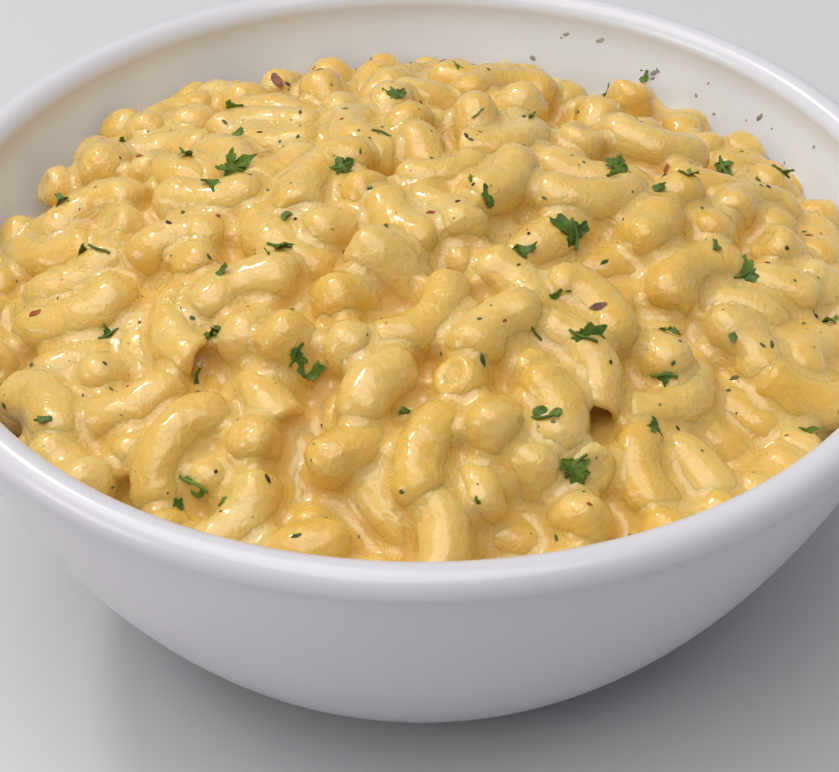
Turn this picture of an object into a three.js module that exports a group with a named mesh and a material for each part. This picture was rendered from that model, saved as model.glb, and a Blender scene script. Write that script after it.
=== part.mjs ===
// Macaroni and cheese heaped in a white glazed serving bowl.
//
// Millimetres, +Z up. The origin is the middle of the foot ring, on the table.
// Two solids: the turned bowl, and the heap of macaroni out to its uneven outline.

import * as THREE from 'three';

// ---------------------------------------------------------------- bowl sizes

const LIP_RADIUS = 90.9;          // centre line of the rolled lip
const LIP_CENTRE_HEIGHT = 73;     // that centre line, above the table
const LIP_THICKNESS = 6.9;        // the lip's round section, across
const LIP_STEPS = 9;              // flats round the lip's section
const LIP_START = THREE.MathUtils.degToRad(-52);  // where the lip leaves the outside of the body
const LIP_END = THREE.MathUtils.degToRad(190);    // where it runs into the inside wall

const BODY_MOUTH_RADIUS = 93.1;   // the outside curve, carried up to the lip's centre line
const BODY_REACH = 86.9;          // depth at which the outside curve would close
const INSIDE_MOUTH_RADIUS = 87.6; // the inside curve, likewise
const INSIDE_REACH = 80.5;
const INSIDE_STEPS = 7;
const SWELL = 1.249;              // how soon the wall starts to turn inwards
const ROUNDNESS = 2.615;          // how full it stays lower down
const NECK_DEPTH = 6.4;           // the hollow under the lip ends at this depth
const BODY_STEPS = 7;
const BODY_UNDERSIDE = 10;        // height at which the body starts to turn in under itself
const UNDERSIDE_STEPS = 4;

const FOOT_RADIUS = 46;           // outside of the foot ring
const FOOT_HEIGHT = 2.6;
const FOOT_WIDTH = 5;             // the flat that the bowl stands on
const FOOT_CHAMFER = 0.6;
const RECESS_HEIGHT = 2;          // hollow inside the foot ring
const FLOOR_HEIGHT = 7.5;         // inside floor, above the table
const FLOOR_EASE = 7;             // rounding where the inside wall meets the floor
const BOWL_SECTORS = 72;

// ---------------------------------------------------------------- heap sizes

const CLEARANCE = 0.45;           // between the heap and the bowl
const HEAP_EDGE_DEPTH = 17;       // the heap's edge, below the lip's centre line
const HEAP_CREST = 9;             // the heap's middle, above the lip's centre line
const HEAP_RINGS = 25;            // rings of the top surface; ring n has 6n corners
const WALL_RINGS = 6;             // rings down the side of the heap, against the bowl
const EDGE_CALM = 0.08;           // share of the radius over which the relief dies out

const TUBE_RADIUS = 4.7;          // one piece of macaroni, with its sauce
const SAUCE_SPREAD = 1.3;         // the sauce carries its sides out to this many radii
const BEND_RADIUS = 13;           // centre line of its bend
const HALF_SWEEP = THREE.MathUtils.degToRad(47);
const PIECE_COUNT = 84;           // pieces lying in the top layer
const PIECE_REACH = 82;           // the outermost of them, from the middle
const SINK_RANGE = 3.2;           // how unevenly they lie
const GOLDEN_ANGLE = Math.PI * (3 - Math.sqrt(5));

// ---------------------------------------------------------------- the bowl

/** Radius of a wall that closes at `reach`, at `depth` below the lip's centre line. */
function wallRadius(mouth, reach, depth) {
  const closed = Math.pow(Math.max(depth, 0) / reach, SWELL);
  return mouth * Math.pow(Math.max(1 - closed, 0), 1 / ROUNDNESS);
}

const outsideRadius = (depth) => wallRadius(BODY_MOUTH_RADIUS, BODY_REACH, depth);
const insideRadius = (depth) => wallRadius(INSIDE_MOUTH_RADIUS, INSIDE_REACH, depth);

/** Half of the bowl's section, from the axis underneath, round the lip, to the axis inside. */
function bowlProfile() {
  const points = [];
  const add = (radius, height) => points.push(new THREE.Vector2(radius, height));

  const flatInside = FOOT_RADIUS - FOOT_CHAMFER - FOOT_WIDTH;
  add(0, RECESS_HEIGHT);
  add(flatInside - FOOT_CHAMFER * 2, RECESS_HEIGHT);
  add(flatInside, 0);
  add(FOOT_RADIUS - FOOT_CHAMFER, 0);
  add(FOOT_RADIUS, FOOT_CHAMFER);

  // the underside eases from the foot ring into the wall, along the wall's own slope
  const lowest = LIP_CENTRE_HEIGHT - BODY_UNDERSIDE;
  const wallFoot = new THREE.Vector2(outsideRadius(lowest), BODY_UNDERSIDE);
  const slope = outsideRadius(lowest) - outsideRadius(lowest + 1);
  const knee = new THREE.Vector2(wallFoot.x - slope * (BODY_UNDERSIDE - FOOT_HEIGHT), FOOT_HEIGHT);
  const start = new THREE.Vector2(FOOT_RADIUS + FOOT_CHAMFER, FOOT_HEIGHT);
  points.push(...new THREE.QuadraticBezierCurve(start, knee, wallFoot).getPoints(UNDERSIDE_STEPS));
  for (let i = 1; i <= BODY_STEPS; i++) {
    const depth = lowest + (NECK_DEPTH - lowest) * (i / BODY_STEPS);
    add(outsideRadius(depth), LIP_CENTRE_HEIGHT - depth);
  }

  const half = LIP_THICKNESS / 2;
  for (let i = 0; i <= LIP_STEPS; i++) {
    const angle = LIP_START + ((LIP_END - LIP_START) * i) / LIP_STEPS;
    add(LIP_RADIUS + half * Math.cos(angle), LIP_CENTRE_HEIGHT + half * Math.sin(angle));
  }

  const floorDepth = LIP_CENTRE_HEIGHT - FLOOR_HEIGHT;
  const easeDepth = floorDepth - FLOOR_EASE / 2;
  for (let i = 1; i <= INSIDE_STEPS; i++) {
    const depth = easeDepth * (i / INSIDE_STEPS);
    add(insideRadius(depth), LIP_CENTRE_HEIGHT - depth);
  }
  add(insideRadius(floorDepth) - FLOOR_EASE, FLOOR_HEIGHT);
  add(0, FLOOR_HEIGHT);
  return points;
}

/** The bowl, turned about its upright axis. */
function bowlGeometry() {
  const turned = new THREE.LatheGeometry(bowlProfile(), BOWL_SECTORS);
  turned.rotateX(Math.PI / 2);
  return turned;
}

// ---------------------------------------------------------------- the heap

/** A repeatable value from 0 to 1 for piece number `index`. */
function spread(index, salt) {
  const wave = Math.sin(index * 12.9898 + salt * 78.233) * 43758.5453;
  return wave - Math.floor(wave);
}

/** The pieces in the top layer, laid out like the seeds of a sunflower, each turned its own way. */
function layPieces() {
  const pieces = [];
  for (let i = 0; i < PIECE_COUNT; i++) {
    const away = PIECE_REACH * Math.sqrt((i + 0.5) / PIECE_COUNT);
    const around = i * GOLDEN_ANGLE;
    const facing = spread(i, 1) * 2 * Math.PI;
    pieces.push({
      // the centre of the bend, so that the piece itself lies at its seed's place
      x: away * Math.cos(around) - BEND_RADIUS * 0.8 * Math.cos(facing),
      y: away * Math.sin(around) - BEND_RADIUS * 0.8 * Math.sin(facing),
      facing,
      sink: (spread(i, 2) - 0.5) * SINK_RANGE,
    });
  }
  return pieces;
}

/** How far (x, y) lies from the centre line of a bent piece, seen from above. */
function distanceToPiece(piece, x, y) {
  const dx = x - piece.x;
  const dy = y - piece.y;
  let angle = Math.atan2(dy, dx) - piece.facing;
  angle = Math.atan2(Math.sin(angle), Math.cos(angle));
  const held = THREE.MathUtils.clamp(angle, -HALF_SWEEP, HALF_SWEEP) + piece.facing;
  return Math.hypot(dx - BEND_RADIUS * Math.cos(held), dy - BEND_RADIUS * Math.sin(held));
}

const HEAP_RADIUS = insideRadius(HEAP_EDGE_DEPTH) - CLEARANCE;

/** Height of the smooth mound that the top layer lies on: part of a ball. */
function moundHeight(radius) {
  const rise = HEAP_CREST + HEAP_EDGE_DEPTH;
  const ball = (HEAP_RADIUS * HEAP_RADIUS + rise * rise) / (2 * rise);
  const crest = LIP_CENTRE_HEIGHT + HEAP_CREST;
  return crest - ball + Math.sqrt(Math.max(ball * ball - radius * radius, 0));
}

/** Height of the heap's surface: the mound with the pieces standing out of it. */
function heapHeight(pieces, x, y) {
  const radius = Math.hypot(x, y);
  const mound = moundHeight(radius);
  let relief = 0;
  for (const piece of pieces) {
    const off = distanceToPiece(piece, x, y) / (TUBE_RADIUS * SAUCE_SPREAD);
    const bulge = Math.pow(Math.max(1 - off * off, 0), 1.5);
    relief = Math.max(relief, (TUBE_RADIUS + piece.sink) * bulge);
  }
  const calm = THREE.MathUtils.smoothstep(1 - radius / HEAP_RADIUS, 0, EDGE_CALM);
  return mound + relief * calm;
}

/** Joins two rings of corners, which may have different counts, with triangles facing `up` or down. */
function bridgeRings(faces, inner, outer, up) {
  let i = 0;
  let o = 0;
  while (i < inner.length || o < outer.length) {
    const a = inner[i % inner.length];
    const b = outer[o % outer.length];
    const stepOuter = i >= inner.length ||
      (o < outer.length && (o + 0.5) / outer.length <= (i + 0.5) / inner.length);
    const c = stepOuter ? outer[(o + 1) % outer.length] : inner[(i + 1) % inner.length];
    faces.push(...(up ? [a, b, c] : [a, c, b]));
    if (stepOuter) o += 1; else i += 1;
  }
}

/** The heap: its uneven top, its side against the bowl, and its flat base. */
function heapGeometry() {
  const corners = [];
  const faces = [];
  const corner = (x, y, z) => corners.push(x, y, z) / 3 - 1;
  const pieces = layPieces();

  const top = corner(0, 0, heapHeight(pieces, 0, 0));
  let previous = null;
  for (let ring = 1; ring <= HEAP_RINGS; ring++) {
    const radius = (HEAP_RADIUS * ring) / HEAP_RINGS;
    const current = [];
    for (let i = 0; i < 6 * ring; i++) {
      const angle = (2 * Math.PI * i) / (6 * ring);
      const x = radius * Math.cos(angle);
      const y = radius * Math.sin(angle);
      current.push(corner(x, y, heapHeight(pieces, x, y)));
    }
    if (previous) bridgeRings(faces, previous, current, true);
    else current.forEach((a, i) => faces.push(top, a, current[(i + 1) % current.length]));
    previous = current;
  }

  const baseDepth = LIP_CENTRE_HEIGHT - FLOOR_HEIGHT - CLEARANCE;
  const easeDepth = baseDepth - FLOOR_EASE / 2;
  for (let ring = 1; ring <= WALL_RINGS; ring++) {
    const last = ring === WALL_RINGS;
    const share = ring / (WALL_RINGS - 1);
    const depth = last ? baseDepth : HEAP_EDGE_DEPTH + (easeDepth - HEAP_EDGE_DEPTH) * share;
    const radius = insideRadius(depth) - (last ? FLOOR_EASE + CLEARANCE * 2 : CLEARANCE * 1.6);
    const current = [];
    for (let i = 0; i < BOWL_SECTORS; i++) {
      const angle = (2 * Math.PI * i) / BOWL_SECTORS;
      current.push(corner(radius * Math.cos(angle), radius * Math.sin(angle), LIP_CENTRE_HEIGHT - depth));
    }
    bridgeRings(faces, previous, current, true);
    previous = current;
  }
  const base = corner(0, 0, FLOOR_HEIGHT + CLEARANCE);
  previous.forEach((a, i) => faces.push(base, previous[(i + 1) % previous.length], a));

  const geometry = new THREE.BufferGeometry();
  geometry.setAttribute('position', new THREE.Float32BufferAttribute(corners, 3));
  geometry.setIndex(faces);
  geometry.computeVertexNormals();
  return geometry;
}

// ---------------------------------------------------------------- the object

const GLAZE = new THREE.MeshStandardMaterial({ color: 0xe6e3e6, roughness: 0.16, metalness: 0 });
const CHEESE_PASTA = new THREE.MeshStandardMaterial({ color: 0xe1b964, roughness: 0.34, metalness: 0 });

/** A named mesh. */
function named(name, geometry, material) {
  const mesh = new THREE.Mesh(geometry, material);
  mesh.name = name;
  return mesh;
}

const macAndCheese = new THREE.Group();
macAndCheese.add(
  named('bowl', bowlGeometry(), GLAZE),
  named('macaroni', heapGeometry(), CHEESE_PASTA),
);

export default macAndCheese;
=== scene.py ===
"""Macaroni and cheese in a white glazed serving bowl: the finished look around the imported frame.

The bowl is turned from its section and glazed. The heap is a bed of cheese sauce with single
elbows of macaroni settled on it, coated, glossy and dusted with chopped parsley and pepper.
Shapes are worked out in millimetres and written to the meshes in metres.
"""

import logging
import math
from dataclasses import dataclass, field
from enum import Enum
from typing import Iterable, Sequence

import bmesh
import bpy
import numpy as np
from mathutils import Matrix, Vector
from mathutils.bvhtree import BVHTree


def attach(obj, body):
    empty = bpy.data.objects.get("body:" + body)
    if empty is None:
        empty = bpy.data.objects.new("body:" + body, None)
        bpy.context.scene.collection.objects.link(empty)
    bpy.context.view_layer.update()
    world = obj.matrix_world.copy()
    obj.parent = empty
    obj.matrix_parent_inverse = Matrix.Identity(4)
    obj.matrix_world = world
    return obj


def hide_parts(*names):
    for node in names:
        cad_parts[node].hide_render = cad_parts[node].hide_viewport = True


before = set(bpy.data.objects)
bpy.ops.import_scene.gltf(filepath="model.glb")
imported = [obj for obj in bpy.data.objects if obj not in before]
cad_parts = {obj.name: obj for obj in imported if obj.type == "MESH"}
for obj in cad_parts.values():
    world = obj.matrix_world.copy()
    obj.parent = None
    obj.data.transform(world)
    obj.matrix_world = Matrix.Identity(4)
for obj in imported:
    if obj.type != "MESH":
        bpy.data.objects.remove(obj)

LOG = logging.getLogger("mac_and_cheese")
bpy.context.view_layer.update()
MM = 0.001
PER_METRE = 1000.0
WELD = 0.005
TINY = 1e-6
FULL_TURN = 2 * math.pi
GOLDEN_ANGLE = math.pi * (3 - math.sqrt(5))
UPRIGHT = (0, 0, 1)
ROOT = "root"

Colour = tuple[float, float, float, float]
Point = tuple[float, float]
Range = tuple[float, float]
Length = float | np.ndarray
Spot = tuple[Vector, Vector]


# ------------------------------------------------------------------ bench helpers

def deselect_all() -> None:
    """Leave edit mode and select nothing."""
    if bpy.context.object and bpy.context.object.mode != "OBJECT":
        bpy.ops.object.mode_set(mode="OBJECT")
    bpy.ops.object.select_all(action="DESELECT")


def take(piece: bpy.types.Object) -> None:
    """Select one piece and make it active."""
    deselect_all()
    piece.select_set(True)
    bpy.context.view_layer.objects.active = piece


def start_piece(name: str) -> bpy.types.Object:
    """Give the primitive that was just added its name, and its mesh the same one."""
    piece = bpy.context.object
    piece.name = name
    piece.data.name = name
    return piece


def edit_all() -> None:
    """Enter edit mode on the active piece with all of it selected."""
    bpy.ops.object.mode_set(mode="EDIT")
    bpy.ops.mesh.select_all(action="SELECT")


def face_out() -> None:
    """Turn all the faces of the piece in edit mode outwards, and leave edit mode."""
    bpy.ops.mesh.select_all(action="SELECT")
    bpy.ops.mesh.normals_make_consistent(inside=False)
    bpy.ops.object.mode_set(mode="OBJECT")


def modify(piece: bpy.types.Object, kind: str, **settings: object) -> None:
    """Add one modifier to a piece and apply it.

    Args:
        piece: The piece.
        kind: The modifier's type name.
        settings: Properties of the modifier.
    """
    modifier = piece.modifiers.new(kind.lower(), kind)
    for name, value in settings.items():
        setattr(modifier, name, value)
    take(piece)
    bpy.ops.object.modifier_apply(modifier=modifier.name)


def smooth(piece: bpy.types.Object, degrees: float | None = None) -> None:
    """Shade a piece smoothly, all over or only across edges flatter than an angle."""
    take(piece)
    if degrees is None:
        bpy.ops.object.shade_smooth()
    else:
        bpy.ops.object.shade_smooth_by_angle(angle=math.radians(degrees))


def copy_piece(piece: bpy.types.Object, matrix: Matrix) -> bpy.types.Object:
    """Copy a piece, with a mesh of its own, to a place."""
    other = piece.copy()
    other.data = piece.data.copy()
    other.matrix_world = matrix
    bpy.context.collection.objects.link(other)
    return other


def join(pieces: Sequence[bpy.types.Object], name: str) -> bpy.types.Object:
    """Join pieces into one mesh with its place written in.

    Args:
        pieces: The pieces, all of them meshes.
        name: The joined piece's name.

    Returns:
        The joined piece, at the origin, unturned and without materials.
    """
    deselect_all()
    for piece in pieces:
        piece.select_set(True)
    bpy.context.view_layer.objects.active = pieces[0]
    bpy.ops.object.transform_apply(location=True, rotation=True, scale=True)
    bpy.ops.object.join()
    joined = start_piece(name)
    joined.data.materials.clear()
    return joined


def discard(pieces: Iterable[bpy.types.Object]) -> None:
    """Remove working pieces and their meshes."""
    for piece in list(pieces):
        mesh = piece.data
        bpy.data.objects.remove(piece, do_unlink=True)
        bpy.data.meshes.remove(mesh)


def corners_of(piece: bpy.types.Object) -> np.ndarray:
    """The corners of a piece as an array of x, y, z in millimetres."""
    flat = np.empty(len(piece.data.vertices) * 3)
    piece.data.vertices.foreach_get("co", flat)
    return flat.reshape(-1, 3) / MM


def triangles_of(piece: bpy.types.Object) -> int:
    """How many triangles a piece's faces make."""
    return sum(len(face.vertices) - 2 for face in piece.data.polygons)


def write_corners(piece: bpy.types.Object, corners: np.ndarray) -> None:
    """Move the corners of a piece to places given in millimetres."""
    piece.data.vertices.foreach_set("co", (corners * MM).ravel())
    piece.data.update()


def write_value(piece: bpy.types.Object, name: str, values: np.ndarray) -> None:
    """Store one number for each corner, in place of any old one, for a material to read."""
    if name in piece.data.attributes:
        piece.data.attributes.remove(piece.data.attributes[name])
    layer = piece.data.attributes.new(name, "FLOAT", "POINT")
    layer.data.foreach_set("value", values.astype(np.float32))


def curve(pulls: Sequence[Point], steps: int) -> list[Point]:
    """Points along a smooth curve.

    Args:
        pulls: The curve's two ends, with the points between that pull it their way.
        steps: Into how many steps the curve is cut.

    Returns:
        The points, both ends included.
    """
    points = []
    for share in np.linspace(0.0, 1.0, steps + 1):
        row = np.array(pulls)
        while len(row) > 1:
            row = (1 - share) * row[:-1] + share * row[1:]
        points.append(tuple(row[0]))
    return points


def turned(name: str, section: Sequence[Point], steps: int) -> bpy.types.Object:
    """Turn a section about the upright axis.

    Args:
        name: The piece's name.
        section: Radius and height of each point, in millimetres, from axis to axis.
        steps: Sectors round the piece.

    Returns:
        A closed piece with its faces pointing out.
    """
    deselect_all()
    radius, height = section[0]
    bpy.ops.mesh.primitive_plane_add(size=MM, location=(radius * MM, 0, height * MM))
    piece = start_piece(name)
    bpy.ops.object.transform_apply(location=True)
    edit_all()
    bpy.ops.mesh.merge(type="CENTER")
    for (r0, z0), (r1, z1) in zip(section, section[1:]):
        step = ((r1 - r0) * MM, 0, (z1 - z0) * MM)
        bpy.ops.mesh.extrude_vertices_move(TRANSFORM_OT_translate={"value": step})
    bpy.ops.mesh.select_all(action="SELECT")
    bpy.ops.mesh.spin(steps=steps, angle=FULL_TURN, center=(0, 0, 0), axis=UPRIGHT)
    bpy.ops.mesh.select_all(action="SELECT")
    bpy.ops.mesh.remove_doubles(threshold=WELD * MM)
    face_out()
    return piece


def stand_on(normal: Vector) -> Matrix:
    """The turn that lays a flat piece on a surface with this normal."""
    return Vector(UPRIGHT).rotation_difference(normal).to_matrix().to_4x4()


# ------------------------------------------------------------------ material helpers

class Sketch:
    """Lays out shader nodes from left to right and links them."""

    def __init__(self, tree: bpy.types.NodeTree) -> None:
        """Start at the left of a tree."""
        self.tree = tree
        self.column = 0

    def feed(self, node: bpy.types.Node, inputs: dict) -> bpy.types.Node:
        """Give a node its inputs, by name or number: values, or sockets to link."""
        for key, value in inputs.items():
            if isinstance(value, bpy.types.NodeSocket):
                self.tree.links.new(value, node.inputs[key])
            else:
                node.inputs[key].default_value = value
        return node

    def add(self, kind: str, inputs: dict | None = None, **settings: object) -> bpy.types.Node:
        """Add a node.

        Args:
            kind: The node's type name, without its ShaderNode prefix.
            inputs: Values or source sockets, by the input's name or number.
            settings: Properties of the node itself.

        Returns:
            The new node.
        """
        full = kind if kind.startswith("Node") else "ShaderNode" + kind
        node = self.tree.nodes.new(full)
        node.location = (self.column * 190, -60 * (self.column % 5))
        self.column += 1
        for key, value in settings.items():
            setattr(node, key, value)
        return self.feed(node, inputs or {})

    def noise(self, place: bpy.types.NodeSocket, scale: object, detail: float = 2.0,
              **inputs: float) -> bpy.types.NodeSocket:
        """Add soft noise and return its strength, from 0 to 1."""
        values = {"Vector": place, "Scale": scale, "Detail": detail, **inputs}
        return self.add("TexNoise", values).outputs[0]

    def wander(self, place: bpy.types.NodeSocket, scale: object, reach: float) -> bpy.types.NodeSocket:
        """Shift places by up to a reach, in metres, each its own way."""
        swirl = self.add("TexNoise", {"Vector": place, "Scale": scale, "Detail": 1.0}).outputs["Color"]
        shift = self.add("VectorMath", {0: swirl, 1: (reach, reach, reach)}, operation="MULTIPLY")
        return self.add("VectorMath", {0: place, 1: shift.outputs[0]}, operation="ADD").outputs[0]

    def value(self, name: str) -> bpy.types.NodeSocket:
        """Read a number that the corners carry."""
        return self.add("Attribute", attribute_name=name).outputs["Fac"]

    def mix(self, share: object, first: object, second: object) -> bpy.types.NodeSocket:
        """Mix two colours and return the result's socket."""
        node = self.add("Mix", data_type="RGBA", clamp_factor=True)
        return self.feed(node, {0: share, 6: first, 7: second}).outputs[2]

    def maths(self, operation: str, *values: object, clamp: bool = False) -> bpy.types.NodeSocket:
        """Work out a number from numbers or sockets."""
        return self.add("Math", dict(enumerate(values)), operation=operation, use_clamp=clamp).outputs[0]

    def band(self, value: bpy.types.NodeSocket, low: float, high: float,
             to_low: float = 0.0, to_high: float = 1.0) -> bpy.types.NodeSocket:
        """Carry a value from one range to another, held at both ends."""
        node = self.add("MapRange", {0: value, 1: low, 2: high, 3: to_low, 4: to_high}, clamp=True)
        return node.outputs[0]

    def bump(self, height: bpy.types.NodeSocket, strength: float, distance: float) -> bpy.types.NodeSocket:
        """Turn heights into relief, its distance given in millimetres."""
        values = {"Strength": strength, "Distance": distance * MM, "Height": height}
        return self.add("Bump", values).outputs[0]


def new_group(name: str, inputs: dict[str, float | None],
              outputs: Sequence[str]) -> tuple[Sketch, dict, bpy.types.Node]:
    """Start a shader node group that gives out numbers.

    Args:
        name: The group's name.
        inputs: Each input's name and starting value; a vector input starts as None.
        outputs: The names of its outputs.

    Returns:
        A sketch of the group's tree, its input sockets by name and the node that takes its outputs.
    """
    tree = bpy.data.node_groups.new(name, "ShaderNodeTree")
    for label, value in inputs.items():
        kind = "NodeSocketVector" if value is None else "NodeSocketFloat"
        socket = tree.interface.new_socket(label, in_out="INPUT", socket_type=kind)
        if value is not None:
            socket.default_value = value
    for label in outputs:
        tree.interface.new_socket(label, in_out="OUTPUT", socket_type="NodeSocketFloat")
    sketch = Sketch(tree)
    given = {socket.name: socket for socket in sketch.add("NodeGroupInput").outputs}
    return sketch, given, sketch.add("NodeGroupOutput")


def wrinkle_group() -> bpy.types.NodeTree:
    """Height of a soft, wet, slightly wrinkled skin: lumps, folds and a fine grain."""
    given_sizes = {"Place": None, "Lump size": 5.0, "Fold size": 1.6, "Fold share": 0.5, "Grain share": 0.2}
    sketch, given, wanted = new_group("wet_wrinkles", given_sizes, ("Height", "Film"))
    place = given["Place"]
    lump_scale = sketch.maths("DIVIDE", PER_METRE, given["Lump size"])
    fold_scale = sketch.maths("DIVIDE", PER_METRE, given["Fold size"])
    finer_grain = 3.4
    grain_scale = sketch.maths("MULTIPLY", fold_scale, finer_grain)
    lumps = sketch.noise(place, lump_scale)
    bent = sketch.wander(place, lump_scale, 2.8 * MM)
    folds = sketch.noise(bent, fold_scale, Roughness=0.45, Distortion=0.6)
    grain = sketch.noise(place, grain_scale)
    ridges = sketch.maths("ABSOLUTE", sketch.maths("SUBTRACT", folds, 0.5))
    creased = sketch.band(sketch.noise(place, 170.0, 1.0), 0.40, 0.62, to_low=0.25)
    fold_height = sketch.maths("MULTIPLY", sketch.maths("MULTIPLY", ridges, given["Fold share"]), creased)
    grain_height = sketch.maths("MULTIPLY", grain, given["Grain share"])
    total = sketch.maths("ADD", sketch.maths("ADD", lumps, fold_height), grain_height)
    sketch.feed(wanted, {"Height": total, "Film": folds})
    return sketch.tree


def speck_group() -> bpy.types.NodeTree:
    """Mask of small round specks scattered in a surface."""
    given_sizes = {"Place": None, "Cell size": 3.0, "Share": 0.2, "Radius": 0.1}
    sketch, given, wanted = new_group("fine_specks", given_sizes, ("Mask",))
    scale = sketch.maths("DIVIDE", PER_METRE, given["Cell size"])
    place = sketch.wander(given["Place"], 900.0, 0.6 * MM)
    cells = sketch.add("TexVoronoi", {"Vector": place, "Scale": scale}, feature="F1")
    draw = sketch.add("TexWhiteNoise", {"Vector": cells.outputs["Position"]}, noise_dimensions="3D")
    chosen = sketch.maths("LESS_THAN", draw.outputs["Value"], given["Share"])
    inside = sketch.maths("SUBTRACT", given["Radius"], cells.outputs["Distance"])
    soft_edge = sketch.maths("MULTIPLY", given["Radius"], 0.5)
    mask = sketch.maths("MULTIPLY", chosen, sketch.maths("DIVIDE", inside, soft_edge, clamp=True))
    sketch.feed(wanted, {"Mask": mask})
    return sketch.tree


def new_material(name: str) -> tuple[bpy.types.Material, Sketch, bpy.types.Node, bpy.types.NodeSocket]:
    """Start a material.

    Args:
        name: The material's name.

    Returns:
        The material, a sketch of its tree, its Principled shader and the Object coordinate socket.
    """
    material = bpy.data.materials.new(name)
    material.use_nodes = True
    tree = material.node_tree
    shader = next(node for node in tree.nodes if node.type == "BSDF_PRINCIPLED")
    sketch = Sketch(tree)
    return material, sketch, shader, sketch.add("TexCoord").outputs["Object"]


@dataclass(frozen=True)
class CheeseFinish:
    """Cooked pasta under cheese sauce: warm yellow, soft, wet, with light passing into it.

    It reads two numbers from the corners: each elbow's own tint, and how deep they lie in the heap, which
    is painted as shade in the crevices.
    """

    name: str
    body: Colour = (0.74, 0.462, 0.074, 1.0)
    cream: Colour = (0.80, 0.585, 0.20, 1.0)
    golden: Colour = (0.75, 0.385, 0.037, 1.0)
    # painted shade: the colour that deep corners and crevices are darkened towards
    crevice_shade: Colour = (0.56, 0.165, 0.008, 1.0)
    speck: Colour = (0.16, 0.085, 0.02, 1.0)
    most_cream: float = 0.75
    most_golden: float = 0.55
    most_tint: float = 0.45
    most_crevice_shade: float = 0.85
    speck_strength: float = 0.8
    roughness: float = 0.18
    relief: float = 0.52
    lump: float = 2.7
    fold: float = 1.9

    def _colour(self, sketch: Sketch, place: bpy.types.NodeSocket) -> bpy.types.NodeSocket:
        """Cream and golden patches, a tint for each elbow, painted shade in the deep crevices, and fine
        specks.
        """
        cream_patch = sketch.noise(place, 75.0, 3.0, Roughness=0.55)
        golden_patch = sketch.noise(place, 310.0, 3.0, Distortion=0.4)
        creamy = sketch.band(cream_patch, 0.46, 0.70, to_high=self.most_cream)
        colour = sketch.mix(creamy, self.body, self.cream)
        golden = sketch.band(golden_patch, 0.50, 0.74, to_high=self.most_golden)
        colour = sketch.mix(golden, colour, self.golden)
        tint = sketch.band(sketch.value("tint"), 0.0, 1.0, to_high=self.most_tint)
        colour = sketch.mix(tint, colour, self.cream)
        # painted shade: the deeper a corner lies, the more of the darker crevice colour it takes
        painted_shade = sketch.band(sketch.value("depth"), 0.15, 1.0, to_high=self.most_crevice_shade)
        colour = sketch.mix(painted_shade, colour, self.crevice_shade)
        specks = sketch.add("Group", node_tree=bpy.data.node_groups["fine_specks"])
        sketch.feed(specks, {"Place": place, "Cell size": 3.4, "Share": 0.16, "Radius": 0.09})
        speckled = sketch.maths("MULTIPLY", specks.outputs[0], self.speck_strength)
        return sketch.mix(speckled, colour, self.speck)

    def material(self) -> bpy.types.Material:
        """Build the material."""
        material, sketch, shader, place = new_material(self.name)
        skin = sketch.add("Group", node_tree=bpy.data.node_groups["wet_wrinkles"])
        sketch.feed(skin, {"Place": place, "Fold size": self.fold, "Lump size": self.lump,
                           "Fold share": 1.05, "Grain share": 0.03})
        wettest, driest = self.roughness - 0.08, self.roughness + 0.26
        sketch.feed(shader, {
            "Base Color": self._colour(sketch, place),
            "Roughness": sketch.band(skin.outputs["Film"], 0.38, 0.62, wettest, driest),
            "Normal": sketch.bump(skin.outputs["Height"], self.relief, 0.9),
            "IOR": 1.42,
            "Subsurface Weight": 0.50,
            "Subsurface Radius": (1.0, 0.50, 0.14),
            "Subsurface Scale": 2.2 * MM,
            "Coat Weight": 0.55,
            "Coat Roughness": 0.08,
        })
        return material


@dataclass(frozen=True)
class GlazeFinish:
    """White glazed porcelain: even, glossy, with a barely wavy skin, and painted light inside: a lighter,
    cooler colour on the inner wall.
    """

    name: str = "white_glaze"
    body: Colour = (0.68, 0.665, 0.70, 1.0)
    warm: Colour = (0.67, 0.645, 0.67, 1.0)
    # painted light: the lighter, cooler colour that stands for the light on the inner wall
    inside: Colour = (0.80, 0.87, 1.0, 1.0)
    most_warm: float = 0.6
    ring_height: float = 0.7

    def material(self) -> bpy.types.Material:
        """Build the material."""
        material, sketch, shader, place = new_material(self.name)
        drift = sketch.band(sketch.noise(place, 22.0), 0.42, 0.72, to_high=self.most_warm)
        outside = sketch.mix(drift, self.body, self.warm)
        pool = sketch.noise(place, 60.0)
        flow = sketch.add("Mapping", {"Vector": place, "Scale": (6.0, 6.0, 130.0)}).outputs[0]
        rings = sketch.maths("MULTIPLY", sketch.noise(flow, 1.0, 1.0), self.ring_height)
        sketch.feed(shader, {
            # painted light: the inner wall is mixed towards its lighter, cooler colour
            "Base Color": sketch.mix(sketch.value("inside_light"), outside, self.inside),
            "Roughness": sketch.band(pool, 0.0, 1.0, 0.19, 0.31),
            "Normal": sketch.bump(sketch.maths("ADD", rings, pool), 0.05, 0.35),
            "IOR": 1.5,
            "Coat Weight": 0.12,
            "Coat Roughness": 0.14,
        })
        return material


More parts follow.
